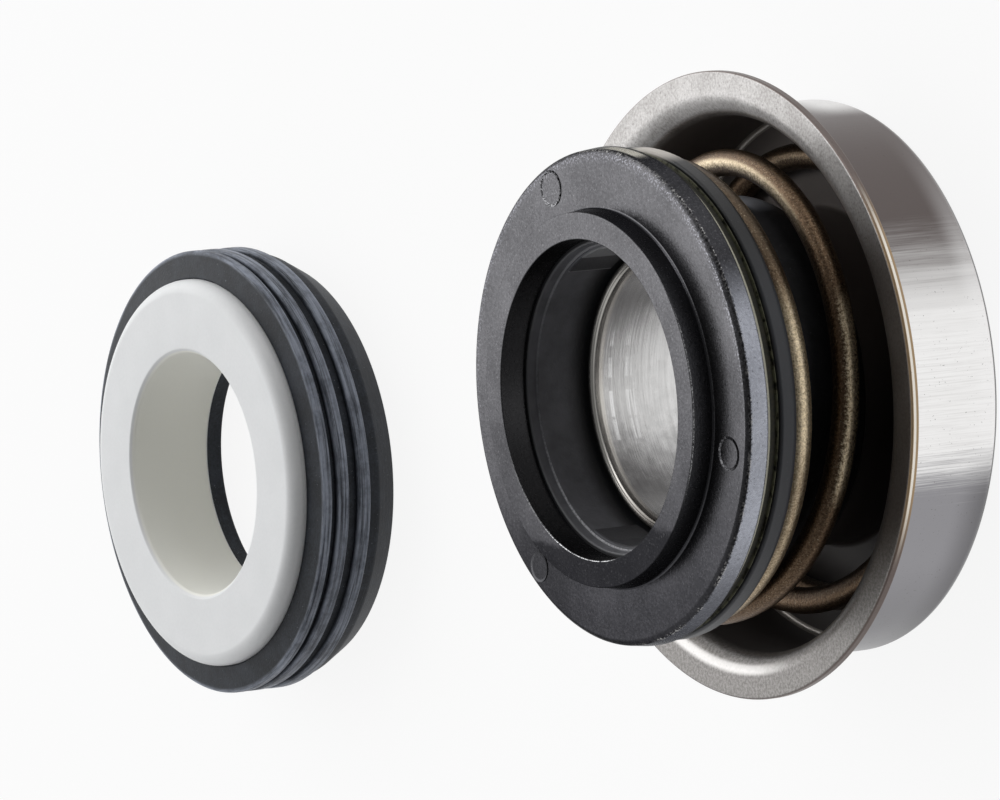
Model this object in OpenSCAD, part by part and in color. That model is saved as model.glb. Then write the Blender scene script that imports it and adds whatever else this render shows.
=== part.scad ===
// Mechanical shaft seal in its two halves, lying face up beside each other.
// The head stands on the axis Z with the back of its cup at z = 0. The seat lies beside it.

/* [Head cup] */
// Outer diameter of the drawn cup, pressed into the pump body
cup_od = 36.5; // [34.5:0.1:38]
// How far the turned-out flange stands out from the cup's wall
flange_w = 2.4; // [1.9:0.1:3.6]
// Height from the cup's back to the front of its flange
cup_h = 8.8; // [8:0.1:9.8]
// Thickness of the cup's sheet
cup_t = 0.6; // [0.4:0.05:0.7]
// Outer radius of the bend at the cup's back
cup_back_r = 0.8; // [0.7:0.1:1.6]
// Radius of the trumpet bend from the cup's wall into its flange
flange_bend_r = 1.5; // [1.2:0.1:1.7]
// Height of the tube drawn forward in the middle of the cup
cup_tube_h = 5.6; // [4.2:0.1:6.2]
// Radius of the bend between the cup's back and its inner tube
cup_tube_bend_r = 1; // [0.8:0.1:1.2]

/* [Clamp sleeve] */
// Bore of the sleeve that the shaft passes through
sleeve_bore = 17.84; // [16.8:0.02:18.2]
// Wall of the sleeve
sleeve_t = 0.5; // [0.35:0.05:0.6]
// Height of the sleeve's beaded front edge
sleeve_h = 13.55; // [12.2:0.05:14.2]
// Radius of the bead on the sleeve's front edge
sleeve_bead_r = 0.35; // [0.3:0.05:0.4]
// Thickness of the foot at the back of the sleeve
sleeve_foot_t = 0.5; // [0.35:0.05:0.7]
// How far the foot stands out from the sleeve
sleeve_foot_w = 0.7; // [0.4:0.05:0.9]

/* [Bellows] */
// Wall of the rubber tail clamped on the sleeve
tail_t = 1; // [0.7:0.05:1.2]
// Inner diameter of the rubber neck inside the seal ring
neck_bore = 19.88; // [19.8:0.02:20.2]
// Wall of the rubber neck
neck_t = 1.26; // [1:0.02:1.3]
// Outer diameter of the bellows' fold
fold_od = 24.8; // [24.4:0.1:26.4]
// Wall of the bellows' fold
fold_t = 1; // [0.7:0.05:1.2]
// Height at which the fold turns in to the neck
fold_top_h = 13.4; // [13.1:0.05:13.9]
// How far the rubber flange lies inside the seal ring's edge
rubber_flange_in = 0.2; // [0:0.05:0.6]
// Thickness of the rubber flange
rubber_flange_t = 1.47; // [1.1:0.01:1.7]
// Radius of the rubber flange's rear edge
rubber_flange_edge_r = 0.55; // [0.2:0.05:0.8]

/* [Spring] */
// Diameter of the spring's wire
wire_d = 1.76; // [1.4:0.02:1.9]
// Mean diameter of the spring's coils
spring_mean_d = 29.2; // [28.4:0.1:30.6]
// Turns between the two closed end coils
active_turns = 1.6; // [1.3:0.02:2.2]
// Turns in each closed end coil
end_turns = 0.97; // [0.7:0.01:1]
// Direction in which the front end coil starts to fall away, from +X
front_leave_deg = 82; // [0:1:360]

/* [Seal ring] */
// Overall height of the head at rest
head_h = 19.8; // [19.5:0.1:20.8]
// Diameter of the seal ring's disc
ring_od = 32.6; // [31.8:0.1:33.4]
// Thickness of the disc at its rim
ring_disc_t = 1.55; // [1.3:0.05:1.8]
// How much the disc's side leans in towards the face
ring_draft = 0.15; // [0:0.05:0.3]
// Bevel on the disc's front edge
ring_bevel = 0.3; // [0.1:0.05:0.45]
// How far the nose stands up from the disc
nose_h = 1.5; // [1.2:0.1:1.9]
// Outer diameter of the lapped running face
nose_od = 24.4; // [24:0.1:25.6]
// How much wider the nose is at its foot
nose_draft = 0.16; // [0:0.02:0.3]
// Bore of the nose
nose_bore = 20.88; // [20.4:0.02:21.4]
// Depth of the counterbore that takes the rubber neck
neck_pocket = 1.15; // [0.8:0.05:1.5]

/* [Support ring] */
// How far the support ring lies inside the seal ring's edge
support_in = 0.35; // [0.1:0.05:0.8]
// Room between the support ring and the rubber neck
support_room = 0.4; // [0.25:0.05:1]
// Thickness of the support ring
support_t = 1.05; // [0.8:0.05:1.2]

/* [Seat] */
// Bore of the ceramic ring
seat_bore = 17.76; // [16.8:0.02:18.4]
// Outer diameter of the ceramic ring
seat_ring_od = 28.4; // [27.6:0.1:28.8]
// Height of the seat from the rubber's back to the lapped face
seat_h = 8.3; // [7.9:0.1:9]
// Width of the rounded edge on the ceramic ring
seat_edge_w = 1; // [0.6:0.1:1.3]
// Depth of the rounded edge on the ceramic ring
seat_edge_h = 1.15; // [0.7:0.05:1.15]
// Chamfer at both ends of the ceramic bore
seat_bore_chamfer = 0.3; // [0.1:0.05:0.5]
// Thickness of the rubber behind the ceramic ring
seat_back_t = 1.6; // [1.2:0.1:1.9]
// How far the opening in the rubber's back clears the ceramic bore
seat_back_room = 0.82; // [0.5:0.02:1.6]

/* [Seat rubber] */
// Thickness of the rubber from the ceramic ring to the top of its ribs
rib_t = 2.03; // [1.7:0.01:2.4]
// Depth of the grooves between the ribs
rib_depth = 0.45; // [0.25:0.05:0.6]
// Height of the rubber's front edge
rubber_h = 6.85; // [6.6:0.05:7]
// How much the rubber's front rises towards the ceramic ring
rubber_rise = 0.3; // [0:0.05:0.3]
// Width of the front rib
front_rib_w = 0.7; // [0.5:0.05:0.8]
// Width of the middle rib
middle_rib_w = 1; // [0.7:0.05:1.1]
// Width of the rear rib
rear_rib_w = 1.05; // [0.7:0.05:1.2]
// Width of the groove behind the front rib
front_groove_w = 0.45; // [0.3:0.05:0.6]
// Width of the groove behind the middle rib
rear_groove_w = 0.75; // [0.4:0.05:0.85]
// Height of the lead-in cone at the rubber's back
lead_h = 1.95; // [1.4:0.05:2.2]
// How far the lead-in cone draws in from the ribs to the rubber's back
lead_in = 1.55; // [0.8:0.05:1.9]

/* [Layout] */
// Where the seat's axis lies along X
seat_x = -2.5; // [-12:0.5:12]
// Where the seat's axis lies along Y
seat_y = 72; // [50:1:90]
// Clearance of a piece fitted into its neighbour
fit_gap = 0.02; // [0.01:0.01:0.05]
// Clearance round the rubber neck in the seal ring
neck_gap = 0.1; // [0.05:0.01:0.15]

/* [Hidden] */
round_fn = 128;
bend_steps = 8;

sleeve_r = sleeve_bore / 2;
sleeve_out_r = sleeve_r + sleeve_t;
tail_r = sleeve_out_r + fit_gap;
tail_out_r = tail_r + tail_t;
tube_r = tail_out_r + fit_gap;
tail_back = sleeve_foot_t + fit_gap;
cup_r = cup_od / 2;
flange_r = cup_r + flange_w;

disc_r = ring_od / 2;
disc_front = head_h - nose_h;
disc_back = disc_front - ring_disc_t;
support_back = disc_back - support_t;
rubber_flange_back = support_back - rubber_flange_t;
neck_r = neck_bore / 2;
neck_out_r = neck_r + neck_t;
pocket_r = neck_out_r + neck_gap;
neck_front = disc_back + neck_pocket;
support_in_r = neck_out_r + support_room;
support_r = disc_r - support_in;
rubber_flange_r = disc_r - rubber_flange_in;

fold_r = fold_od / 2;
fold_in_r = fold_r - fold_t;
fold_back_r = fold_r - tail_out_r;
fold_front_r = fold_r - neck_out_r;

wire_r = wire_d / 2;
spring_r = spring_mean_d / 2;
spring_back = cup_t + fit_gap + wire_r;
spring_front = rubber_flange_back - fit_gap - wire_r;
spring_turns = active_turns + 2 * end_turns;
wire_sides = 12;
steps_per_turn = 40;

seat_ring_r = seat_ring_od / 2;
seat_pocket_r = seat_ring_r + fit_gap;
rib_r = seat_pocket_r + rib_t;
groove_r = rib_r - rib_depth;
rib_edge = 0.12;

// Points along an arc about [r, z] from angle a to angle b
function arc(centre, radius, a, b) = [
    for (i = [0 : bend_steps])
        centre + radius * [cos(a + (b - a) * i / bend_steps), sin(a + (b - a) * i / bend_steps)]
];

// Outline of one rib with its small bevels and the groove floor on both sides of it
function rib(bottom, width) = [
    [groove_r, bottom],
    [rib_r - rib_edge, bottom],
    [rib_r, bottom + rib_edge],
    [rib_r, bottom + width - rib_edge],
    [rib_r - rib_edge, bottom + width],
    [groove_r, bottom + width]
];

// Height of the wire's centre after a number of turns: level in both end coils, falling between
function coil_share(turn) = min(1, max(0, (turn - end_turns) / active_turns));
function coil_height(turn) = spring_front - (spring_front - spring_back) * coil_share(turn);

module turned() {
    rotate_extrude($fn = round_fn) children();
}

// Deep-drawn cup: flange, wall, flat back and a short tube drawn forward in the middle
module housing_cup() {
    bend_in_r = cup_back_r - cup_t;
    tube_out_r = tube_r + cup_t;
    tube_bend = [tube_r + cup_tube_bend_r, cup_tube_bend_r];
    back_bend = [cup_r - cup_back_r, cup_back_r];
    flange_bend = [cup_r - cup_t + flange_bend_r, cup_h - flange_bend_r];
    color("silver") turned() polygon(concat(
        [[tube_r, cup_tube_h], [tube_out_r, cup_tube_h]],
        arc(tube_bend, cup_tube_bend_r - cup_t, 180, 270),
        arc(back_bend, bend_in_r, 270, 360),
        arc(flange_bend, flange_bend_r, 180, 90),
        [[flange_r, cup_h], [flange_r, cup_h - cup_t]],
        arc(flange_bend, flange_bend_r - cup_t, 90, 180),
        arc(back_bend, cup_back_r, 0, -90),
        arc(tube_bend, cup_tube_bend_r, 270, 180)
    ));
}

// Bright tube that clamps the bellows' tail in the cup and guides the shaft
module clamp_sleeve() {
    bead = [sleeve_r + sleeve_bead_r, sleeve_h - sleeve_bead_r];
    foot_r = sleeve_out_r + sleeve_foot_w;
    bead_start = -30;
    color("gainsboro") turned() polygon(concat(
        [[sleeve_r, 0], [foot_r, 0], [foot_r, sleeve_foot_t], [sleeve_out_r, sleeve_foot_t]],
        [[sleeve_out_r, sleeve_h - 3 * sleeve_bead_r]],
        arc(bead, sleeve_bead_r, bead_start, 180)
    ));
}

// Moulded rubber: tail on the sleeve, one fold, neck into the seal ring and a flat flange
module bellows() {
    tail_turn = cup_tube_h + fit_gap;
    back_centre = [tail_out_r, tail_turn + fold_back_r];
    front_centre = [neck_out_r, fold_top_h - fold_front_r];
    flange_edge = [rubber_flange_r, rubber_flange_back] + rubber_flange_edge_r * [-1, 1];
    color("#26282c") turned() polygon(concat(
        [[tail_r, tail_back], [tail_out_r, tail_back]],
        arc(back_centre, fold_back_r, -90, 0),
        arc(front_centre, fold_front_r, 0, 90),
        [[neck_out_r, rubber_flange_back]],
        arc(flange_edge, rubber_flange_edge_r, -90, 0),
        [[rubber_flange_r, support_back], [neck_out_r, support_back]],
        [[neck_out_r, neck_front], [neck_r, neck_front]],
        [[neck_r, fold_top_h - fold_t]],
        arc([fold_in_r - fold_t, fold_top_h - 2 * fold_t], fold_t, 90, 0),
        arc([fold_in_r - fold_t, tail_turn + 2 * fold_t], fold_t, 0, -90),
        [[tail_r, tail_turn + fold_t]]
    ));
}

// Left-hand compression spring with a closed coil at each end
module coil_spring() {
    rings = ceil(spring_turns * steps_per_turn);
    points = [
        for (i = [0 : rings], k = [0 : wire_sides - 1])
            let (
                turn = spring_turns * i / rings,
                a = front_leave_deg + 360 * (turn - end_turns),
                b = 360 * k / wire_sides,
                r = spring_r + wire_r * cos(b)
            )
            [r * cos(a), r * sin(a), coil_height(turn) + wire_r * sin(b)]
    ];
    sides = [
        for (i = [0 : rings - 1], k = [0 : wire_sides - 1])
            let (
                m = (k + 1) % wire_sides,
                here = i * wire_sides,
                next = here + wire_sides
            )
            [here + k, next + k, next + m, here + m]
    ];
    first_end = [for (k = [0 : wire_sides - 1]) k];
    last_end = [for (k = [wire_sides - 1 : -1 : 0]) rings * wire_sides + k];
    color("#8a7450") polyhedron(points, concat([first_end], sides, [last_end]));
}

// Flat metal washer between the rubber flange and the seal ring
module support_ring() {
    color("#6b6238") turned() polygon([
        [support_in_r, support_back],
        [support_r, support_back],
        [support_r, disc_back],
        [support_in_r, disc_back]
    ]);
}

// Moulded carbon ring: a flat disc with a raised, lapped nose
module seal_ring() {
    rim_r = disc_r - ring_draft;
    nose_r = nose_od / 2;
    color("#4a4b50") turned() polygon([
        [pocket_r, disc_back],
        [disc_r, disc_back],
        [rim_r, disc_front - ring_bevel],
        [rim_r - ring_bevel, disc_front],
        [nose_r + nose_draft, disc_front],
        [nose_r, head_h],
        [nose_bore / 2, head_h],
        [nose_bore / 2, neck_front],
        [pocket_r, neck_front]
    ]);
}

// White ceramic ring with a lapped face and a rounded outer edge
module seat_ring() {
    r = seat_bore / 2;
    c = seat_bore_chamfer;
    edge = [
        for (p = arc([0, 0], 1, 0, 90))
            [seat_ring_r - seat_edge_w * (1 - p[0]), seat_h - seat_edge_h * (1 - p[1])]
    ];
    translate([seat_x, seat_y, 0]) color("white") turned() polygon(concat(
        [[r, seat_back_t + c], [r + c, seat_back_t], [seat_ring_r, seat_back_t]],
        edge,
        [[r + c, seat_h], [r, seat_h - c]]
    ));
}

// Ribbed rubber cup that holds the ceramic ring in its recess
module seat_cup() {
    back_r = seat_bore / 2 + seat_back_room;
    floor_top = seat_back_t - fit_gap;
    front_bottom = rubber_h - front_rib_w;
    middle_bottom = front_bottom - front_groove_w - middle_rib_w;
    rear_bottom = middle_bottom - rear_groove_w - rear_rib_w;
    translate([seat_x, seat_y, 0]) color("#34383f") turned() polygon(concat(
        [[back_r, floor_top], [back_r, 0], [rib_r - lead_in, 0]],
        [[groove_r, lead_h]],
        rib(rear_bottom, rear_rib_w),
        rib(middle_bottom, middle_rib_w),
        [for (i = [0 : 4]) rib(front_bottom, front_rib_w)[i]],
        [[seat_pocket_r, rubber_h + rubber_rise], [seat_pocket_r, floor_top]]
    ));
}

housing_cup();
clamp_sleeve();
bellows();
coil_spring();
support_ring();
seal_ring();
seat_ring();
seat_cup();
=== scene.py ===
"""Mechanical shaft seal: the sprung head in its steel cup, and the ceramic seat beside it."""
import math

import bmesh
import bpy
from mathutils import Matrix, Vector
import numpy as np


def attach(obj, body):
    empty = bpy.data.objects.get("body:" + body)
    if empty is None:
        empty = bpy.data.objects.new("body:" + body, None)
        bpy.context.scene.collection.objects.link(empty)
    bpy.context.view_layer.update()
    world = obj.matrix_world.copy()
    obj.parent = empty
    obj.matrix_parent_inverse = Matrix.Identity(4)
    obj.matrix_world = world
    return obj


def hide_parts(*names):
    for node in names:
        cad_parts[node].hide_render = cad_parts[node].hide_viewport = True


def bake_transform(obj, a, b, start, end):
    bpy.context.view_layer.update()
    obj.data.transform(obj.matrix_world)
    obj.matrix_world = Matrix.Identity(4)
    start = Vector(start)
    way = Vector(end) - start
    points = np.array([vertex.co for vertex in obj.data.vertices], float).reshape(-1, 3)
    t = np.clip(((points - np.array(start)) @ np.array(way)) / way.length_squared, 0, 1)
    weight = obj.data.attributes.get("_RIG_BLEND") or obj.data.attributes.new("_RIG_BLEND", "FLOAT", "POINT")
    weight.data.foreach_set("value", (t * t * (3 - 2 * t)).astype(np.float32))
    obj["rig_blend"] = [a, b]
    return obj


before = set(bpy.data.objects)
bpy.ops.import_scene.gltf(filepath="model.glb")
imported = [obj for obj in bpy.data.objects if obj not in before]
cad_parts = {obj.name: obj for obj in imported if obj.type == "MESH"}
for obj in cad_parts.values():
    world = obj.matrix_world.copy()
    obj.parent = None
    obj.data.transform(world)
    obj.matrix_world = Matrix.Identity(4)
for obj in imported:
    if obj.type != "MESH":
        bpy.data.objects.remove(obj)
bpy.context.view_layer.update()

# ---------------------------------------------------------------- Camera and studio
# A long lens looks down on the two halves and is rolled about its own line of sight, so that the
# head stands in the picture as it does on its rim. The halves lie on a plain white sweep.
MM = 0.001
CAMERA_PLACE = Vector((0.597, -435.327, 300.091))
IMAGE_RIGHT = Vector((-0.10126, -0.52945, -0.84228))
IMAGE_UP = Vector((0.99486, -0.05389, -0.08573))
TO_CAMERA = Vector((0, -0.84663, 0.53218))
FILM_WIDTH = 36
LENS = 288
camera = bpy.data.objects.new("camera", bpy.data.cameras.new("camera"))
bpy.context.collection.objects.link(camera)
camera.data.sensor_width = FILM_WIDTH
camera.data.lens = LENS
camera_turn = Matrix((IMAGE_RIGHT, IMAGE_UP, TO_CAMERA)).transposed().to_4x4()
camera.matrix_world = Matrix.Translation(CAMERA_PLACE * MM) @ camera_turn
bpy.context.scene.camera = camera
bpy.context.scene.view_settings.view_transform = "Standard"


class Signal:
    """A shader socket that can stand in a sum. The sum adds its own Math nodes."""

    def __init__(self, tree, socket=None):
        self.tree = tree
        self.socket = socket

    def node(self, kind, inputs=(), out=0, **settings):
        """Add one node: its settings first, then a value or a link for each of its sockets."""
        made = self.tree.nodes.new(kind)
        for name, value in settings.items():
            setattr(made, name, value)
        for name, value in dict(inputs).items():
            if isinstance(value, Signal):
                self.tree.links.new(value.socket, made.inputs[name])
            else:
                made.inputs[name].default_value = value
        return Signal(self.tree, made.outputs[out] if made.outputs else None)

    def math(self, operation, *values):
        return self.node("ShaderNodeMath", enumerate(values), operation=operation)

    def __add__(self, other):
        return self.math("ADD", self, other)

    def __radd__(self, other):
        return self.math("ADD", other, self)

    def __sub__(self, other):
        return self.math("SUBTRACT", self, other)

    def __rsub__(self, other):
        return self.math("SUBTRACT", other, self)

    def __mul__(self, other):
        return self.math("MULTIPLY", self, other)

    def __rmul__(self, other):
        return self.math("MULTIPLY", other, self)

    def __truediv__(self, other):
        return self.math("DIVIDE", self, other)

    def larger(self, other):
        return self.math("MAXIMUM", self, other)

    def rise(self, low, high):
        """0 below low, 1 above high, and smooth between them. With low above high it falls."""
        return self.node(
            "ShaderNodeMapRange",
            {"Value": self, "From Min": low, "From Max": high},
            interpolation_type="SMOOTHSTEP",
        )

    def blend(self, first, second):
        """The first colour where this is 0, the second where it is 1."""
        return self.node("ShaderNodeMix", {0: self, 6: first, 7: second}, out=2, data_type="RGBA")

    def axis(self, name):
        return self.node("ShaderNodeSeparateXYZ", {0: self}, out=name)

    def stretched(self, x, y, z):
        return self.node("ShaderNodeVectorMath", {0: self, 1: (x, y, z)}, operation="MULTIPLY")

    def noise(self, scale, detail=2.0, roughness=0.5):
        """Cloudy noise over a vector, around 0.5. The scale is in spots for each millimetre."""
        return self.node(
            "ShaderNodeTexNoise",
            {"Vector": self, "Scale": scale, "Detail": detail, "Roughness": roughness},
        )


def rgb(red, green, blue):
    return (red, green, blue, 1)


# The camera sees plain white all round. For all other light the backdrop behind the seal is pale
# and the room at the camera's side is dim, so that metal and carbon mirror both.
WHITE = rgb(1, 1, 1)
ROOM_DIM = 0.12
BACKDROP_GAIN = 0.78
world = bpy.data.worlds.new("studio")
bpy.context.scene.world = world
world.use_nodes = True
world.node_tree.nodes.clear()
start = Signal(world.node_tree)
seen = start.node("ShaderNodeLightPath", out="Is Camera Ray")
through = start.node("ShaderNodeLightPath", out="Is Transmission Ray")
depth = start.node("ShaderNodeTexCoord", out="Generated").axis("Y")
white = start.node("ShaderNodeBackground", {"Color": WHITE, "Strength": 1})
room_light = depth.rise(-0.35, 0.6) * BACKDROP_GAIN + ROOM_DIM
room = start.node("ShaderNodeBackground", {"Color": rgb(0.98, 0.99, 1), "Strength": room_light})
shown = start.node("ShaderNodeMixShader", {0: seen.larger(through), 1: room, 2: white})
start.node("ShaderNodeOutputWorld", {"Surface": shown})

SWEEP_SIZE = 4
SWEEP_DROP = 0.00002
bpy.ops.object.select_all(action="DESELECT")
bpy.ops.mesh.primitive_plane_add(size=SWEEP_SIZE, location=(0, 0, -SWEEP_DROP))
sweep = bpy.context.object
sweep.name = "sweep"
paper = bpy.data.materials.new("white_paper")
paper.use_nodes = True
paper.node_tree.nodes.clear()
start = Signal(paper.node_tree)
seen = start.node("ShaderNodeLightPath", out="Is Camera Ray")
mirrored = start.node("ShaderNodeLightPath", out="Is Glossy Ray")
through = start.node("ShaderNodeLightPath", out="Is Transmission Ray")
matt = start.node("ShaderNodeBsdfDiffuse", {"Color": rgb(0.86, 0.86, 0.86)})
glow = start.node("ShaderNodeEmission", {"Color": WHITE, "Strength": 1})
plain = seen * 0.9 + through * 0.9 + mirrored * 0.92
sheet = start.node("ShaderNodeMixShader", {0: plain, 1: matt, 2: glow})
start.node("ShaderNodeOutputMaterial", {"Surface": sheet})
paper.cycles.emission_sampling = "NONE"
sweep.data.materials.append(paper)

LAMP_AIM = Vector((0, 0.03, 0.01))


def softbox(name, direction, distance, width, height, watts):
    """A rectangular lamp that looks at the middle of the two halves."""
    lamp = bpy.data.lights.new(name, "AREA")
    lamp.shape = "RECTANGLE"
    lamp.size = width
    lamp.size_y = height
    lamp.energy = watts
    holder = bpy.data.objects.new(name, lamp)
    bpy.context.collection.objects.link(holder)
    back = Vector(direction).normalized()
    holder.location = LAMP_AIM + back * distance
    holder.rotation_mode = "QUATERNION"
    holder.rotation_quaternion = back.to_track_quat("Z", "Y")
    holder.visible_camera = False


softbox("left_box", (0.45, 0.62, 0.62), distance=0.55, width=0.7, height=0.7, watts=2.0)
softbox("top_box", (0.9, -0.3, 0.12), distance=0.6, width=0.3, height=0.15, watts=0.4)


# ---------------------------------------------------------------- Drawn cup
# Stainless sheet, 0.6 mm, drawn to a flanged cup whose middle is drawn forward into a short tube.
# It is pressed into the pump body. The drawing die leaves fine marks along its wall.
ROUND = 256
NEAR = 2e-6
FINE_ROUNDING = 0.2
FINE_STEPS = 2
BROAD_STEPS = 10
SMOOTH_BELOW = math.radians(13)


def turn(name, outline, centre=(0, 0), steps=ROUND):
    """Turn a closed outline of (radius, height, rounding) corners in millimetres into a ring."""
    bpy.ops.object.select_all(action="DESELECT")
    radius, height = outline[0][:2]
    bpy.ops.mesh.primitive_circle_add(
        vertices=steps, radius=radius * MM, location=(centre[0] * MM, centre[1] * MM, height * MM)
    )
    piece = bpy.context.object
    piece.name = name
    bpy.ops.object.transform_apply(location=True)
    bpy.ops.object.mode_set(mode="EDIT")
    bpy.ops.mesh.select_mode(type="EDGE")
    bpy.ops.mesh.select_all(action="SELECT")
    for before, after in zip(outline, outline[1:]):
        bpy.ops.mesh.extrude_region_move(
            TRANSFORM_OT_translate={"value": (0, 0, (after[1] - before[1]) * MM)}
        )
        grow = after[0] / before[0]
        bpy.ops.transform.resize(
            value=(grow, grow, 1),
            center_override=(centre[0] * MM, centre[1] * MM, after[1] * MM),
        )
    pick_rings(piece, [outline[0], outline[-1]], centre)
    bpy.ops.mesh.bridge_edge_loops()
    for corner in outline:
        if corner[2]:
            pick_rings(piece, [corner], centre)
            bpy.ops.mesh.bevel(
                offset=corner[2] * MM,
                segments=FINE_STEPS if corner[2] < FINE_ROUNDING else BROAD_STEPS,
                affect="EDGES",
            )
    bpy.ops.mesh.select_all(action="SELECT")
    bpy.ops.mesh.normals_make_consistent(inside=False)
    bpy.ops.object.mode_set(mode="OBJECT")
    bpy.ops.object.shade_smooth_by_angle(angle=SMOOTH_BELOW)
    flats = piece.modifiers.new("flats", "WEIGHTED_NORMAL")
    flats.keep_sharp = True
    bpy.ops.object.modifier_apply(modifier=flats.name)
    return piece


def pick_rings(piece, corners, centre):
    """Select the round edges that lie at the given (radius, height) corners."""
    mesh = bmesh.from_edit_mesh(piece.data)
    for part in (*mesh.verts, *mesh.edges, *mesh.faces):
        part.select = False

    def lies_at(vertex, radius, height):
        reach = math.hypot(vertex.co.x - centre[0] * MM, vertex.co.y - centre[1] * MM)
        return abs(reach - radius * MM) < NEAR and abs(vertex.co.z - height * MM) < NEAR

    for edge in mesh.edges:
        for radius, height, *rest in corners:
            if all(lies_at(vertex, radius, height) for vertex in edge.verts):
                edge.select_set(True)
    bmesh.update_edit_mesh(piece.data)


def new_finish(piece, slot, **fixed):
    """Give a piece its material. Returns its shader and the place on it in millimetres."""
    material = bpy.data.materials.new(slot)
    material.use_nodes = True
    piece.data.materials.clear()
    piece.data.materials.append(material)
    shader = material.node_tree.nodes["Principled BSDF"]
    for name, value in fixed.items():
        shader.inputs[name.replace("_", " ")].default_value = value
    start = Signal(material.node_tree)
    place = start.node("ShaderNodeTexCoord", out="Object").stretched(1 / MM, 1 / MM, 1 / MM)
    return shader, place


def wear(shader, colour, roughness, height, depth):
    """Plug a colour, a roughness and a relief of the given depth in millimetres into a shader."""
    tree = shader.id_data
    tree.links.new(colour.socket, shader.inputs["Base Color"])
    tree.links.new(roughness.socket, shader.inputs["Roughness"])
    settings = {"Height": height, "Distance": depth * MM, "Strength": 1}
    relief = height.node("ShaderNodeBump", settings)
    tree.links.new(relief.socket, shader.inputs["Normal"])


def polar(place):
    """Distance from the axis, and height."""
    flat = place.stretched(1, 1, 0)
    radius = flat.node("ShaderNodeVectorMath", {0: flat}, out="Value", operation="LENGTH")
    return radius, place.axis("Z")


CUP_R = 18.25
SHEET = 0.6
CUP_TUBE_R = 10.46
CUP_TUBE_H = 5.6
FLANGE_R = 20.65
FLANGE_H = 8.8
cup = turn(
    "drawn_cup",
    [
        (CUP_TUBE_R, CUP_TUBE_H, 0.1),
        (CUP_TUBE_R + SHEET, CUP_TUBE_H, 0.1),
        (CUP_TUBE_R + SHEET, SHEET, 0.4),
        (CUP_R - SHEET, SHEET, 0.3),
        (CUP_R - SHEET, FLANGE_H, 1.5),
        (FLANGE_R, FLANGE_H, 0.14),
        (FLANGE_R, FLANGE_H - SHEET, 0.08),
        (CUP_R, FLANGE_H - SHEET, 0.9),
        (CUP_R, 0, 0.8),
        (CUP_TUBE_R, 0, 1),
    ],
)
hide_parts("housing_cup")
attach(cup, "housing")
shader, place = new_finish(cup, "drawn_steel")
radius, height = polar(place)
side = place.axis("X")
across = place.axis("Y")
draw_marks = place.stretched(1, 1, 0.02).noise(9, 4, 0.7)
broad_marks = place.stretched(1, 1, 0.03).noise(0.8, 3, 0.6)
specks = place.noise(7, 2, 0.6)
clouds = place.noise(0.35, 3, 0.6)
frost = place.noise(5, 3, 0.7)
pits = specks.rise(0.68, 0.76)

on_wall = (radius - 18.0).rise(0.1, 0.2) * (8.0 - height).rise(0, 0.3)
inside = (17.9 - radius).rise(0.1, 0.2) * (8.2 - height).rise(0, 1.2)
bend = (18.0 - radius).rise(0, 0.1) * height.rise(4, 5)
on_flange = height.rise(7.9, 8.1).larger(bend)
fillet = inside * height.rise(0.95, 0.8) * radius.rise(17.25, 17.35)

# The wall carries painted reflections: dark brown on its top side and dim grey on its bottom side,
# fading out over the far half and streaked along the wall, with a painted glint at the top and
# painted shade low down.
painted_shade_fade = across.rise(10, 1)
streaked = side + (broad_marks - 0.5) * 4 + (draw_marks - 0.5) * 4
bright = clouds.blend(rgb(0.88, 0.87, 0.86), rgb(0.95, 0.945, 0.94))
marked = draw_marks.rise(0.3, 0.6).blend(rgb(0.80, 0.79, 0.78), bright)
painted_dim_reflection = streaked.rise(-5.5, -8.5) * on_wall * painted_shade_fade
wall = painted_dim_reflection.blend(marked, rgb(0.29, 0.285, 0.30))
painted_dark_reflection = streaked.rise(2.0, 10) * on_wall * painted_shade_fade
wall = painted_dark_reflection.blend(wall, rgb(0.122, 0.104, 0.100))
top_glint = side.rise(16.6, 17.7) * on_wall * height.rise(5.5, 2)
wall = (top_glint * 0.85).blend(wall, rgb(0.85, 0.84, 0.83))
painted_low_shade = side.rise(-12, -17.5) * on_wall * painted_shade_fade
wall = (painted_low_shade * 0.8).blend(wall, rgb(0.15, 0.147, 0.155))

# The flange has a satin face, painted dimmer towards the bottom side as shade and dark on its near
# side as a painted reflection, with a painted highlight at the bend.
satin = (clouds * 0.4 + frost * 0.6).rise(0.35, 0.65)
satin = satin.blend(rgb(0.30, 0.285, 0.275), rgb(0.53, 0.515, 0.505))
satin = (frost.rise(0.36, 0.28) * 0.6).blend(satin, rgb(0.06, 0.055, 0.05))
dim_satin = frost.rise(0.35, 0.65).blend(rgb(0.18, 0.17, 0.16), rgb(0.31, 0.295, 0.285))
satin = side.rise(4, -16).blend(satin, dim_satin)
painted_near_reflection = across.rise(-9, -17) * side.rise(12, 6) * side.rise(-14, -9)
satin = (painted_near_reflection * 0.8).blend(satin, rgb(0.10, 0.083, 0.072))
bend_highlight = radius.rise(18.25, 18.5) * radius.rise(19.2, 18.8) * on_flange * side.rise(-14, -16)
satin = (bend_highlight * across.rise(-5, 1) * 0.6).blend(satin, rgb(0.88, 0.86, 0.84))

# The inside of the cup is painted dark as shade, less so towards the top side; its fillet stays
# pale metal that catches a glint.
painted_inside_shade = side.rise(-5, 6).blend(rgb(0.045, 0.037, 0.034), rgb(0.17, 0.145, 0.133))
colour = inside.blend(on_flange.blend(wall, satin), painted_inside_shade)
colour = fillet.blend(colour, rgb(0.5, 0.46, 0.42))
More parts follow.
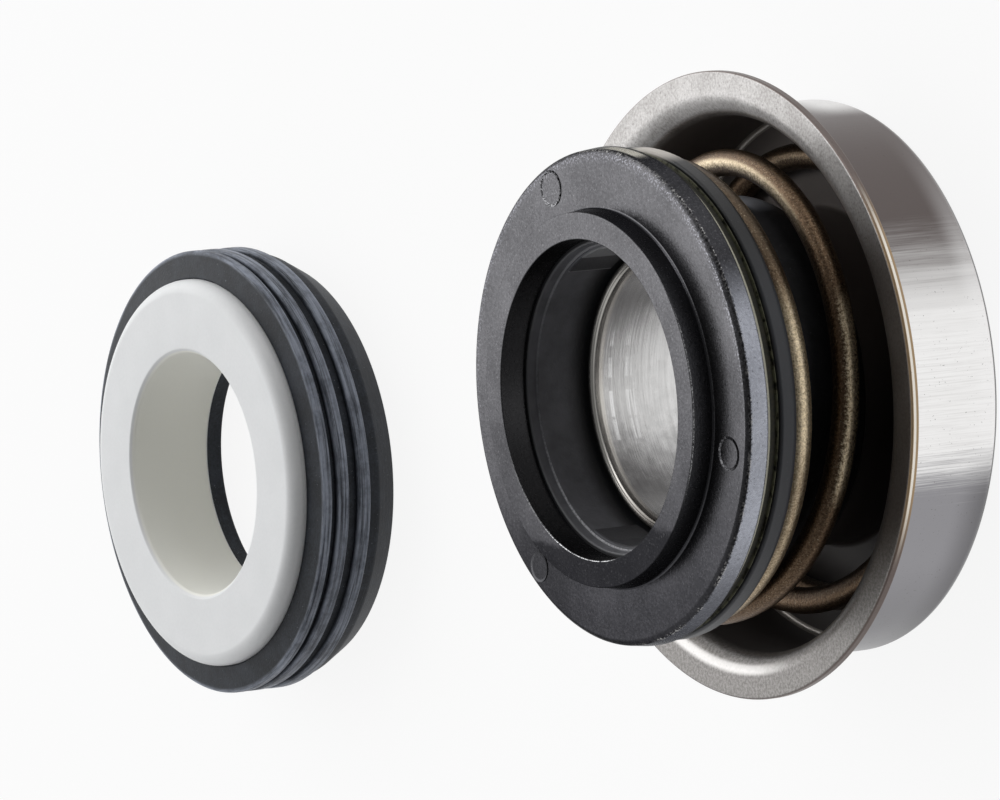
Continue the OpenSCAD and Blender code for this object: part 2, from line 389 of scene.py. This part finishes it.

# The back edge with a painted glint and, low down, painted shade; then the flange's sheared edge,
# bare metal painted lit at the sides and dark at top and bottom, with a painted highlight line.
back_glint = height.rise(2.4, 0.8) * on_wall * side.rise(17, 3) * side.rise(-9, -5)
colour = (back_glint * 0.35).blend(colour, rgb(0.95, 0.94, 0.94))
painted_low_back_shade = height.rise(3.2, 0.4) * radius.rise(17.4, 17.6) * side.rise(-5, -9) * painted_shade_fade
colour = (painted_low_back_shade * 0.75).blend(colour, rgb(0.13, 0.127, 0.132))
bare_edge = radius.rise(20.54, 20.6)
edge_lit_side = side.rise(13, 7) * side.rise(-13, -7)
edge_highlight = height.rise(8.64, 8.59) * height.rise(8.40, 8.45)
edge_metal_lit = edge_lit_side.blend(rgb(0.12, 0.09, 0.08), rgb(0.40, 0.28, 0.16))
edge_metal_lit = (edge_highlight * edge_lit_side).blend(edge_metal_lit, rgb(0.97, 0.92, 0.83))
colour = (bare_edge * 0.9).blend(colour, edge_metal_lit)
# A painted dark outline along the back corner, as shade.
back_edge_shade = height.rise(0.5, 0.38) * radius.rise(17.5, 17.6)
colour = (back_edge_shade * 0.9).blend(colour, rgb(0.03, 0.025, 0.025))
colour = (pits * 0.7).blend(colour, rgb(0.09, 0.075, 0.07))

dull = inside * 0.75 + on_flange * 0.2
shader.id_data.links.new((1 - dull).socket, shader.inputs["Metallic"])
wear(
    shader,
    colour,
    0.2 + clouds * 0.08 + pits * 0.2 + on_wall * 0.06 + on_flange * 0.14 + (inside - fillet) * 0.3,
    draw_marks * 0.6 + specks * 0.4 + frost * on_flange,
    depth=0.006,
)


# ---------------------------------------------------------------- Clamp sleeve
# Bright stainless tube, turned. It is pushed in from the back, and its beaded front edge is rolled
# over, so that it holds the bellows' tail against the cup's inner tube.
SLEEVE_R = 8.92
SLEEVE_OUT_R = 9.42
SLEEVE_H = 13.55
SLEEVE_FOOT_R = 10.12
SLEEVE_FOOT_H = 0.5
BEAD_OUT_R = 9.62
sleeve = turn(
    "clamp_sleeve_tube",
    [
        (SLEEVE_R, 0, 0.2),
        (SLEEVE_FOOT_R, 0, 0.1),
        (SLEEVE_FOOT_R, SLEEVE_FOOT_H, 0.1),
        (SLEEVE_OUT_R, SLEEVE_FOOT_H, 0),
        (SLEEVE_OUT_R, 12.75, 0),
        (BEAD_OUT_R, 12.95, 0.1),
        (BEAD_OUT_R, SLEEVE_H, 0.22),
        (9.2, SLEEVE_H, 0.1),
        (9.12, SLEEVE_H - 0.12, 0.03),
        (8.98, SLEEVE_H - 0.2, 0.04),
        (SLEEVE_R, SLEEVE_H - 0.5, 0.06),
        (SLEEVE_R, 4, 0),
    ],
)


def direction_round(place):
    """Direction round the axis, from 0 to 1."""
    x, y = place.axis("X"), place.axis("Y")
    return x.math("ARCTAN2", y, x) / math.tau + 0.5


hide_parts("clamp_sleeve")
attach(sleeve, "housing")
shader, place = new_finish(sleeve, "sleeve_steel", Metallic=1)
radius, height = polar(place)
side = place.axis("X")
turned_place = place.node(
    "ShaderNodeCombineXYZ", {"X": radius, "Y": height, "Z": direction_round(place) * 7}
)
rings = turned_place.stretched(1, 1, 0.35).noise(3.2, 4, 0.65)
fine_rings = turned_place.stretched(1, 1, 0.9).noise(9, 2, 0.6)
blots = place.noise(1.1, 3, 0.6)
specks = place.noise(8, 2, 0.6)
# Painted light: the tube is lit in a band across its middle and painted dim above and below it, with a
# blotchy boundary.
blotted_side = side + (blots - 0.5) * 3
painted_lit_band = blotted_side.rise(7.5, 2.0) * blotted_side.rise(-6.0, -1.0)
tone = (rings * 0.6 + blots * 0.4).rise(0.3, 0.7)
dim = tone.blend(rgb(0.27, 0.265, 0.265), rgb(0.36, 0.355, 0.355))
lit = tone.blend(rgb(0.56, 0.555, 0.55), rgb(0.78, 0.775, 0.77))
colour = painted_lit_band.blend(dim, lit)
# Painted highlights: short white bars along two turned rings.
chatter = turned_place.stretched(0, 0, 1).noise(5, 2, 0.5).rise(0.44, 0.5)
turned_line = height.rise(12.0, 12.1) * height.rise(12.36, 12.26)
second_line = height.rise(10.2, 10.5) * height.rise(11.3, 10.8) * rings.rise(0.4, 0.55)
chatter_highlights = chatter * (turned_line + second_line * 0.5) * side.rise(5, 3) * side.rise(-4.5, -2.5)
colour = chatter_highlights.blend(colour, WHITE)
# The beaded edge is painted lit across its middle and in shade at the bottom.
on_bead = height.rise(12.6, 12.9)
lit_bead = side.rise(-8.5, -4) * (side.rise(8.5, 3) * 0.55 + 0.45)
bead = lit_bead.blend(rgb(0.20, 0.185, 0.17), rgb(0.8, 0.77, 0.72))
colour = on_bead.blend(colour, bead)
colour = (specks.rise(0.66, 0.76) * 0.6).blend(colour, rgb(0.3, 0.28, 0.26))
wear(shader, colour, 0.18 + blots * 0.12, rings * 0.7 + fine_rings * 0.3, depth=0.012)


# ---------------------------------------------------------------- Bellows
# Black nitrile rubber, moulded in one piece: the tail under the sleeve, one fold, the neck that
# carries the seal ring and the flange that the spring pushes on. Two low lugs stand in the neck.
TAIL_R = 9.44
TAIL_OUT_R = 10.44
TAIL_BACK = 0.52
FOLD_R = 11.4
FOLD_OUT_R = 12.4
FOLD_RINGS = (8.3, 9.2, 10.1, 11.0)
NECK_R = 9.94
NECK_OUT_R = 11.2
NECK_FRONT = 17.9
RUBBER_FLANGE_R = 16.1
RUBBER_FLANGE_BACK = 14.23
bellows = turn(
    "moulded_bellows",
    [
        (TAIL_R, TAIL_BACK, 0.05),
        (TAIL_OUT_R, TAIL_BACK, 0.05),
        (TAIL_OUT_R, 5.62, 0),
        (FOLD_OUT_R, 5.62, 1.9),
        *((FOLD_OUT_R, level, 0) for level in FOLD_RINGS),
        (FOLD_OUT_R, 13.4, 1.1),
        (NECK_OUT_R, 13.4, 0),
        (NECK_OUT_R, RUBBER_FLANGE_BACK, 0.15),
        (RUBBER_FLANGE_R, RUBBER_FLANGE_BACK, 0.55),
        (RUBBER_FLANGE_R, 15.62, 0.2),
        (NECK_OUT_R, 15.69, 0),
        (NECK_OUT_R, NECK_FRONT, 0.1),
        (10.14, NECK_FRONT, 0.08),
        (10.10, 17.28, 0.04),
        (NECK_R, 17.2, 0.04),
        (NECK_R, 12.4, 0.25),
        (FOLD_R, 12.4, 0.9),
        *((FOLD_R, level, 0) for level in reversed(FOLD_RINGS)),
        (FOLD_R, 6.62, 0.9),
        (TAIL_R, 6.62, 0.1),
    ],
)


def add_cylinder(radius, depth, centre, sides, ends="NGON"):
    """A cylinder in millimetres, left in edit mode with nothing selected."""
    bpy.ops.object.select_all(action="DESELECT")
    bpy.ops.mesh.primitive_cylinder_add(
        vertices=sides,
        radius=radius * MM,
        depth=depth * MM,
        end_fill_type=ends,
        location=[value * MM for value in centre],
    )
    bpy.ops.object.transform_apply(location=True)
    bpy.ops.object.mode_set(mode="EDIT")
    bpy.ops.mesh.select_mode(type="FACE")
    bpy.ops.mesh.select_all(action="DESELECT")
    return bpy.context.object


def join_to(piece, parts):
    """Make the parts one mesh with the piece."""
    bpy.ops.object.select_all(action="DESELECT")
    for part in (*parts, piece):
        part.select_set(True)
    bpy.context.view_layer.objects.active = piece
    bpy.ops.object.join()


LUG_R = 9.76
LUG_THICK = 0.7
LUG_LENGTH = 3.3
LUG_MIDDLE = 15.45
LUG_SIDES = 30
LUG_SPREAD = math.radians(30)
for towards in (1, -1):
    lug = add_cylinder(LUG_R, LUG_LENGTH, (0, 0, LUG_MIDDLE), LUG_SIDES, ends="NOTHING")
    mesh = bmesh.from_edit_mesh(lug.data)
    for face in mesh.faces:
        middle = face.calc_center_median()
        face.select = abs(math.atan2(middle.y, middle.x * towards)) > LUG_SPREAD
    bmesh.update_edit_mesh(lug.data)
    bpy.ops.mesh.delete(type="FACE")
    bpy.ops.object.mode_set(mode="OBJECT")
    thick = lug.modifiers.new("thick", "SOLIDIFY")
    thick.thickness = LUG_THICK * MM
    thick.offset = 1
    bpy.ops.object.modifier_apply(modifier=thick.name)
    join_to(bellows, [lug])
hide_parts("bellows")
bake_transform(bellows, "housing", "seal_face", start=(0, 0, 0.006), end=(0, 0, 0.0130))
shader, place = new_finish(bellows, "bellows_rubber", Specular_IOR_Level=0.4)
radius, height = polar(place)
direction = direction_round(place)
side = place.axis("X")
across = place.axis("Y")
grain = place.noise(6, 3, 0.6)
cloud = place.noise(0.5, 3, 0.6)
dust = place.noise(5, 2, 0.7).rise(0.68, 0.74)
colour = (cloud * 0.6 + grain * 0.4).rise(0.3, 0.75)
colour = colour.blend(rgb(0.010, 0.010, 0.011), rgb(0.024, 0.024, 0.027))

# The flange's edge is painted near black at its top as shade, and the fold carries a painted
# highlight along its top.
band = radius.rise(15.5, 16)
band_shade = side.rise(11, 4).blend(rgb(0.004, 0.004, 0.005), rgb(0.060, 0.062, 0.070))
colour = (band * 0.8).blend(colour, band_shade)
fold_highlight = side.rise(10.9, 11.9) * height.rise(6.2, 6.8) * height.rise(9.4, 8.6)
fold_highlight = fold_highlight * across.rise(1, -2)
colour = (fold_highlight * 0.7).blend(colour, rgb(0.42, 0.43, 0.47))

# Inside the neck: its wall, painted lighter as sheen and darker deeper in as shade; the lugs, with
# a painted lit facet and a painted highlight along an edge; and painted highlights along the step
# and the lip at its front.
in_bore = radius.rise(10.2, 10.13) * height.rise(12.6, 12.9)
bore_sheen_and_shade = cloud.rise(0.3, 0.7).blend(rgb(0.115, 0.115, 0.125), rgb(0.165, 0.165, 0.18))
bore_sheen_and_shade = height.rise(15.3, 13.9).blend(bore_sheen_and_shade, rgb(0.03, 0.03, 0.033))
colour = in_bore.blend(colour, bore_sheen_and_shade)
on_lug = radius.rise(9.86, 9.80) * height.rise(13.7, 13.8) * height.rise(17.19, 17.14)
lug_lit_facet = side.rise(8, 9) * direction.rise(0.5515, 0.5505)
lug_light_and_shade = lug_lit_facet.blend(rgb(0.05, 0.05, 0.055), rgb(0.28, 0.28, 0.29))
colour = on_lug.blend(colour, lug_light_and_shade)
lug_edge_highlight = side.rise(8, 8.2) * direction.rise(0.5815, 0.5822) * direction.rise(0.5840, 0.5835)
colour = (on_lug * lug_edge_highlight * 0.7).blend(colour, rgb(0.35, 0.35, 0.36))
step_highlight = height.rise(17.18, 17.20) * height.rise(17.27, 17.25) * radius.rise(10.16, 10.13)
step_highlight = step_highlight * grain.rise(0.35, 0.55) * (side.rise(1, -8) * 0.6 + 0.12)
colour = step_highlight.blend(colour, rgb(0.50, 0.50, 0.52))
lip_highlight = height.rise(17.76, 17.8) * radius.rise(10.3, 10.26)
colour = (lip_highlight * 0.7).blend(colour, rgb(0.16, 0.16, 0.17))

# A painted highlight on the top of the flange's edge.
band_highlight = band * side.rise(14.6, 15.4) * across.rise(-1.2, -2.8)
colour = (band_highlight * 0.9).blend(colour, rgb(0.66, 0.61, 0.55))
colour = (dust * 0.5).blend(colour, rgb(0.12, 0.125, 0.13))
wear(shader, colour, 0.36 + grain * 0.16, grain * 0.6 + dust * 0.4, depth=0.02)


# ---------------------------------------------------------------- Coil spring
# Bronze-coloured spring wire, 1.76 mm, coiled left-handed with a closed coil at each end. One end
# sits in the bottom of the cup, the other pushes on the bellows' flange.
WIRE_R = 0.88
SPRING_R = 14.6
SPRING_FRONT = 13.33
SPRING_REAR = 1.50
END_TURNS = 0.97
ACTIVE_TURNS = 1.6
LEAVE_ANGLE = math.radians(82)
WIRE_SIDES = 28
STEPS_A_TURN = 72
WIRE_SMOOTH_BELOW = math.radians(50)
all_turns = ACTIVE_TURNS + 2 * END_TURNS
coil_steps = round(all_turns * STEPS_A_TURN)
step_angle = math.tau * all_turns / coil_steps


def centre_height(step):
    """Height of the wire's centre: level in both end coils, falling between them."""
    turn_count = step * all_turns / coil_steps
    share = min(1, max(0, (turn_count - END_TURNS) / ACTIVE_TURNS))
    return SPRING_FRONT - (SPRING_FRONT - SPRING_REAR) * share


bpy.ops.object.select_all(action="DESELECT")
bpy.ops.mesh.primitive_circle_add(
    vertices=WIRE_SIDES,
    radius=WIRE_R * MM,
    location=(SPRING_R * MM, 0, SPRING_FRONT * MM),
    rotation=(math.pi / 2, 0, 0),
)
spring = bpy.context.object
spring.name = "coil_spring_wire"
bpy.ops.object.transform_apply(location=True, rotation=True)
spring.rotation_euler = (0, 0, LEAVE_ANGLE - END_TURNS * math.tau)
bpy.ops.object.transform_apply(rotation=True)
bpy.ops.object.mode_set(mode="EDIT")
bpy.ops.mesh.select_mode(type="EDGE")
bpy.ops.mesh.select_all(action="SELECT")
for step in range(coil_steps):
    drop = centre_height(step + 1) - centre_height(step)
    bpy.ops.mesh.extrude_region_move(TRANSFORM_OT_translate={"value": (0, 0, drop * MM)})
    bpy.ops.transform.rotate(value=-step_angle, orient_axis="Z", center_override=(0, 0, 0))
bpy.ops.mesh.edge_face_add()
mesh = bmesh.from_edit_mesh(spring.data)
mesh.verts.ensure_lookup_table()
for part in (*mesh.verts, *mesh.edges, *mesh.faces):
    part.select = False
for i in range(WIRE_SIDES):
    mesh.verts[i].select = True
for edge in mesh.edges:
    edge.select = all(vertex.select for vertex in edge.verts)
bmesh.update_edit_mesh(spring.data)
bpy.ops.mesh.edge_face_add()
bpy.ops.mesh.select_all(action="SELECT")
bpy.ops.mesh.normals_make_consistent(inside=False)
bpy.ops.object.mode_set(mode="OBJECT")
bpy.ops.object.shade_smooth_by_angle(angle=WIRE_SMOOTH_BELOW)
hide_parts("coil_spring")
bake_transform(spring, "housing", "seal_face", start=(0, 0, 0.0015), end=(0, 0, 0.0133))
share_of_travel = spring.data.attributes["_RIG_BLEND"].data
for step in range(coil_steps + 1):
    share = (centre_height(step) - SPRING_REAR) / (SPRING_FRONT - SPRING_REAR)
    for i in range(WIRE_SIDES):
        share_of_travel[step * WIRE_SIDES + i].value = share
shader, place = new_finish(spring, "spring_bronze", Metallic=0.9)
radius, height = polar(place)
side = place.axis("X")
across = place.axis("Y")
grain = place.noise(6.5, 3, 0.65)
fleck = place.noise(9, 2, 0.6)
cloud = place.noise(0.5, 2, 0.5)

# The wire is rubbed bright along its outside, and painted highlights follow that wear where light
# falls, with brighter flecks there; it is dull and spotted between the coils, and the front coil is
# painted in shade at its top.
worn_radius = radius + (grain - 0.5) * 0.5
front_shine = worn_radius.rise(14.9, 15.25) * (side.rise(-7, -3.5) * 0.6 + 0.4)
front_shine = front_shine * (side.rise(7, 2) * 0.96 + 0.04)
top_line = worn_radius.rise(14.15, 14.5) * worn_radius.rise(15.05, 14.75) * side.rise(8, 12)
top_shine = top_line * across.rise(4, 0) * (height.rise(4, 7) * 0.6 + 0.15)
rear_shine = worn_radius.rise(15.25, 15.45) * side.rise(6, 3) * side.rise(-9, -6) * 0.8
front_coil = height.rise(12.3, 12.6)
rubbed_and_lit = front_coil * front_shine + (1 - front_coil) * top_shine.larger(rear_shine)
dull = grain.rise(0.32, 0.68).blend(rgb(0.070, 0.042, 0.024), rgb(0.175, 0.115, 0.070))
shaded = front_coil * side.rise(5, 9)
dull = (shaded * 0.75).blend(dull, rgb(0.030, 0.019, 0.012))
shiny = grain.rise(0.32, 0.68).blend(rgb(0.46, 0.36, 0.23), rgb(0.94, 0.79, 0.56))
colour = rubbed_and_lit.blend(dull, shiny)
bright_fleck = fleck.rise(0.6, 0.7) * (rubbed_and_lit * 0.7 + 0.2)
colour = bright_fleck.blend(colour, rgb(0.95, 0.84, 0.62))
colour = (fleck.rise(0.4, 0.3) * 0.8).blend(colour, rgb(0.05, 0.035, 0.025))
wear(shader, colour, 0.3 + cloud * 0.14, grain, depth=0.03)


# ---------------------------------------------------------------- Support ring
# Thin punched washer in dull olive brass, loose between the rubber flange and the seal ring. A
# little rubber flash stands along its edges.
WASHER_R = 11.6
WASHER_BACK = 15.7
WASHER_FRONT = 16.75
washer = turn(
    "support_washer",
    [
        (WASHER_R, WASHER_BACK, 0.06),
        (15.86, WASHER_BACK, 0.03),
        (15.92, 15.8, 0.02),
        (15.7, 15.86, 0.04),
        (15.7, 16.34, 0.08),
        (15.95, 16.4, 0.05),
        (15.95, 16.64, 0.08),
        (15.6, WASHER_FRONT, 0.06),
        (WASHER_R, WASHER_FRONT, 0.06),
    ],
)
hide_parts("support_ring")
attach(washer, "seal_face")
shader, place = new_finish(washer, "washer_brass", Metallic=0.2, Specular_IOR_Level=0.3)
radius, height = polar(place)
grain = place.noise(4, 3, 0.6)
# The front lip is painted pale as a highlight line.
washer_lip_highlight = (radius - 15.7).rise(0.05, 0.2) * height.rise(16.2, 16.35)
flash = height.rise(15.88, 15.82) * place.noise(1.2, 3, 0.6).rise(0.4, 0.55)
colour = grain.rise(0.3, 0.7).blend(rgb(0.006, 0.006, 0.003), rgb(0.022, 0.020, 0.008))
colour = (washer_lip_highlight * 0.9).blend(colour, rgb(0.60, 0.58, 0.47))
colour = (flash * 0.7).blend(colour, rgb(0.20, 0.20, 0.13))
wear(shader, colour, 0.35 + grain * 0.2, grain, depth=0.03)


# ---------------------------------------------------------------- Seal ring
# Carbon-filled phenolic, moulded dark grey: a disc with a raised nose that is lapped flat. The
# mould's ejector pins have left three round marks on the disc, and its edge is a little chipped.
DISC_R = 16.3
DISC_BACK = 16.75
DISC_FRONT = 18.3
DISC_STEPS = 384
NOSE_R = 12.2
NOSE_BORE_R = 10.44
NECK_SEAT_R = 11.3
HEAD_H = 19.8
seal_ring = turn(
    "carbon_ring",
    [
        (NECK_SEAT_R, DISC_BACK, 0.05),
        (DISC_R, DISC_BACK, 0.12),
        (16.15, 18.0, 0.1),
        (15.85, DISC_FRONT, 0.14),
        (12.36, DISC_FRONT, 0.12),
        (NOSE_R, HEAD_H, 0.05),
        (NOSE_BORE_R, HEAD_H, 0.06),
        (NOSE_BORE_R, NECK_FRONT, 0),
        (NECK_SEAT_R, NECK_FRONT, 0),
    ],
    steps=DISC_STEPS,
)
PIN_MARKS = ((14.58, 16.4, 1.2), (14.17, -107.5, 1.1), (14.7, 136.2, 1.0))
PIN_SIDES = 64
PIN_HIGH = 0.12
PIN_SUNK = 0.01
PIN_RIM = 0.17
PIN_HOLLOW = 0.042
PIN_CREST = 0.03
PIN_ROUGH = 0.08
FACES_UP = 0.9
marks = []
for i, (reach, angle, mark_r) in enumerate(PIN_MARKS):
    x = reach * math.cos(math.radians(angle))
    y = reach * math.sin(math.radians(angle))
    mark = add_cylinder(mark_r, PIN_HIGH, (x, y, DISC_FRONT - PIN_SUNK), PIN_SIDES)
    mesh = bmesh.from_edit_mesh(mark.data)
    for face in mesh.faces:
        face.select = face.normal.z > FACES_UP
    bmesh.update_edit_mesh(mark.data)
    bpy.ops.mesh.inset(thickness=PIN_RIM * MM)
    bpy.ops.transform.translate(value=(0, 0, -PIN_HOLLOW * MM))
    bpy.ops.mesh.select_all(action="DESELECT")
    mesh = bmesh.from_edit_mesh(mark.data)
    for vertex in mesh.verts:
        vertex.select = vertex.co.z > (DISC_FRONT + PIN_CREST) * MM
    bmesh.update_edit_mesh(mark.data)
    bpy.ops.transform.vertex_random(offset=PIN_ROUGH * MM, seed=i)
    bpy.ops.object.mode_set(mode="OBJECT")
    marks.append(mark)
join_to(seal_ring, marks)
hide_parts("seal_ring")
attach(seal_ring, "seal_face")
shader, place = new_finish(
    seal_ring, "carbon_phenolic", Metallic=0.9, Specular_Tint=rgb(0.3, 0.3, 0.3)
)
radius, height = polar(place)
side = place.axis("X")
across = place.axis("Y")
grain = place.noise(5.5, 3, 0.7)
fleck = place.noise(7, 2, 0.6)
cloud = place.noise(0.25, 3, 0.55)
mottled = (grain * 0.65 + cloud * 0.35).rise(0.3, 0.7)

# The lapped and moulded faces, painted darker towards the bottom side as shade, with more painted
# shade low on the nose's face and a darker patch low on the disc's far side.
light_face = mottled.blend(rgb(0.085, 0.084, 0.088), rgb(0.15, 0.148, 0.156))
dark_face = mottled.blend(rgb(0.030, 0.030, 0.033), rgb(0.060, 0.059, 0.065))
face = (side + (cloud - 0.5) * 6).rise(-16, 7).blend(dark_face, light_face)
painted_nose_shade = (side + (cloud - 0.5) * 2).rise(-8.6, -9.2) * height.rise(19.6, 19.7)
face = (painted_nose_shade * 0.8).blend(face, rgb(0.014, 0.014, 0.016))
low_far_dark_patch = (side + (cloud - 0.5) * 4).rise(-7, -9.5) * across.rise(5.5, 8) * height.rise(18.6, 18.5)
face = (low_far_dark_patch * 0.5).blend(face, rgb(0.02, 0.02, 0.022))
moulded = (radius - 12.12).rise(0, 0.05) * (12.45 - radius).rise(0, 0.05) * height.rise(19.76, 19.7)
face = moulded.blend(face, rgb(0.062, 0.062, 0.068))
bored = radius.rise(10.5, 10.46)
face = bored.blend(face, rgb(0.055, 0.055, 0.058))

# The turned rim, painted lit across its middle, dim at the bottom and dark at the top, with a painted
# flash of light on its top.
rim = radius.rise(16.02, 16.1) * height.rise(18.05, 17.95)
turned = mottled.blend(rgb(0.26, 0.27, 0.305), rgb(0.41, 0.425, 0.48))
dark_rim = mottled.blend(rgb(0.03, 0.03, 0.033), rgb(0.06, 0.06, 0.066))
lit_rim = side.rise(8.5, 3.5) * (side.rise(-15, -8) * 0.7 + 0.3)
colour = rim.blend(face, lit_rim.blend(dark_rim, turned))
rim_flash = side.rise(15.0, 15.5) * across.rise(-6.5, -5) * across.rise(-0.8, -2.4)
rim_flash = rim_flash * height.rise(16.95, 17.15) * height.rise(17.85, 17.65)
colour = (rim * rim_flash * 0.75).blend(colour, rgb(0.92, 0.88, 0.78))

# Flecks of the filler, painted brighter towards the lit top side, and the chipped edge.
lit_fleck = fleck.rise(0.6, 0.74) * ((side.rise(-16, 7) * 0.3 + 0.1) * (1 - moulded) * (1 - bored))
colour = lit_fleck.blend(colour, rgb(0.32, 0.32, 0.33))
ragged = radius.rise(15.2, 15.8) * height.rise(18.1, 18.25) * side.rise(-4, 6)
colour = (ragged * fleck.rise(0.52, 0.62) * 0.6).blend(colour, rgb(0.36, 0.36, 0.40))
colour = (fleck.rise(0.38, 0.28) * 0.6).blend(colour, rgb(0.03, 0.03, 0.032))
from_edge = height - 18.02
chips = from_edge.math("ABSOLUTE", from_edge).rise(0.14, 0.06) * radius.rise(15.9, 16.0)
patch = place.noise(0.9, 2, 0.6).rise(0.4, 0.6)
colour = (chips * patch * fleck.rise(0.5, 0.6)).blend(colour, rgb(0.42, 0.41, 0.40))
colour = (chips * fleck.rise(0.48, 0.40) * 0.8).blend(colour, rgb(0.02, 0.02, 0.022))

# The pin marks' flash, and painted highlights along the edges of the nose.
flash = height.rise(DISC_FRONT + 0.006, DISC_FRONT + 0.016) * radius.rise(12.5, 12.6)
flash_bright = fleck.rise(0.5, 0.56) * side.rise(-12, 0)
flash_tone = side.rise(-11, -6).blend(rgb(0.085, 0.085, 0.09), rgb(0.01, 0.01, 0.011))
flash_tone = flash_bright.blend(flash_tone, rgb(0.30, 0.30, 0.31))
colour = (flash * (across.rise(-10, 0) * 0.35 + 0.5)).blend(colour, flash_tone)
nose_edge_highlight = radius.rise(12.18, 12.21) * height.rise(19.66, 19.72) * side.rise(6, 3)
nose_edge_highlight = nose_edge_highlight * side.rise(-8, -4)
colour = (nose_edge_highlight * grain.rise(0.4, 0.6)).blend(colour, rgb(0.55, 0.55, 0.56))
bore_edge_highlight = radius.rise(10.52, 10.49) * height.rise(19.72, 19.75) * side.rise(-2, -4)
lit_arc = across.rise(-1.6, -0.4) * (side.rise(-7.5, -9.3) * 0.7 + 0.12)
colour = (bore_edge_highlight * grain.rise(0.4, 0.58) * lit_arc).blend(colour, rgb(0.70, 0.70, 0.71))
wear(shader, colour, 0.2 + grain * 0.12, grain, depth=0.012)


# ---------------------------------------------------------------- Seat ring
# White alumina ceramic, fired, ground and lapped on its face, with a rounded outer edge. It sits
# in the seat's rubber cup.
SEAT_CENTRE = (-2.5, 72)
SEAT_R = 14.2
SEAT_BORE_R = 8.88
SEAT_BACK = 1.6
SEAT_H = 8.3
BORE_CHAMFER = 0.3
seat_ring = turn(
    "ceramic_ring",
    [
        (SEAT_BORE_R, SEAT_BACK + BORE_CHAMFER, 0),
        (SEAT_BORE_R + BORE_CHAMFER, SEAT_BACK, 0),
        (SEAT_R, SEAT_BACK, 0.1),
        (SEAT_R, SEAT_H, 1.0),
        (SEAT_BORE_R + BORE_CHAMFER, SEAT_H, 0.1),
        (SEAT_BORE_R, SEAT_H - BORE_CHAMFER, 0.1),
    ],
    centre=SEAT_CENTRE,
)


def from_seat_centre(place):
    """The same place, measured from the seat's own axis."""
    to_axis = (-SEAT_CENTRE[0], -SEAT_CENTRE[1], 0)
    return place.node("ShaderNodeMapping", {"Vector": place, "Location": to_axis})


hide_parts("seat_ring")
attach(seat_ring, "housing")
shader, place = new_finish(seat_ring, "seat_ceramic", Specular_IOR_Level=0.5)
radius, height = polar(from_seat_centre(place))
grain = place.noise(4, 3, 0.6)
cloud = place.noise(0.25, 2, 0.5)
colour = (grain * 0.4 + cloud * 0.6).rise(0.25, 0.75)
colour = colour.blend(rgb(0.80, 0.808, 0.812), rgb(0.86, 0.866, 0.87))
# The bore wall is painted paler and warmer than the face, as light inside the bore.
colour = radius.rise(9.1, 8.95).blend(colour, rgb(0.965, 0.96, 0.90))
wear(shader, colour, 0.38 + grain * 0.12, grain, depth=0.006)


# ---------------------------------------------------------------- Seat cup
# Blue-grey nitrile rubber cup, moulded with three ribs that grip the recess in the impeller, and
# tapered at the back to lead it in. The ribs are scuffed pale, and painted paler still as light.
SEAT_CUP_R = 9.7
RIB_R = 16.25
GROOVE_R = 15.8
POCKET_R = 14.22
POCKET_FLOOR = 1.58
seat_cup = turn(
    "ribbed_cup",
    [
        (SEAT_CUP_R, POCKET_FLOOR, 0.1),
        (SEAT_CUP_R, 0, 0.15),
        (14.7, 0, 0.25),
        (GROOVE_R, 1.95, 0.15),
        (GROOVE_R, 2.9, 0.1),
        (RIB_R, 2.9, 0.2),
        (RIB_R, 3.95, 0.2),
        (GROOVE_R, 3.95, 0.1),
        (GROOVE_R, 4.7, 0.1),
        (RIB_R, 4.7, 0.2),
        (RIB_R, 5.7, 0.2),
        (GROOVE_R, 5.7, 0.08),
        (GROOVE_R, 6.15, 0.08),
        (RIB_R, 6.15, 0.15),
        (RIB_R, 6.85, 0.2),
        (POCKET_R, 7.15, 0.1),
        (POCKET_R, POCKET_FLOOR, 0),
    ],
    centre=SEAT_CENTRE,
)
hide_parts("seat_cup")
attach(seat_cup, "housing")
shader, place = new_finish(seat_cup, "seat_rubber", Specular_IOR_Level=0.22)
own = from_seat_centre(place)
radius, height = polar(own)
round_it = own.node(
    "ShaderNodeCombineXYZ", {"X": radius, "Y": height, "Z": direction_round(own) * 9}
)
grain = place.noise(5, 3, 0.6)
scuff = round_it.stretched(1, 3, 1).noise(1.5, 6, 0.75)
rub = round_it.stretched(1, 0.4, 4).noise(1.2, 4, 0.7)
blotch = own.noise(0.5, 5, 0.65)
specks = own.noise(6, 2, 0.6).rise(0.7, 0.76)
colour = (grain * 0.4 + blotch * 0.6).rise(0.38, 0.66)
colour = colour.blend(rgb(0.007, 0.009, 0.013), rgb(0.025, 0.030, 0.040))
colour = (specks * 0.6).blend(colour, rgb(0.25, 0.27, 0.30))
# The ribs' scuffs are worn pale, and painted paler still as light falling on them.
rubbed_and_lit = radius.rise(15.85, 16.15) * scuff.rise(0.30, 0.62) * (rub.rise(0.3, 0.6) * 0.6 + 0.4)
colour = rubbed_and_lit.blend(colour, rgb(0.34, 0.37, 0.44))
wear(shader, colour, 0.42 + grain * 0.14, grain * 0.5 + scuff * 0.5, depth=0.04)
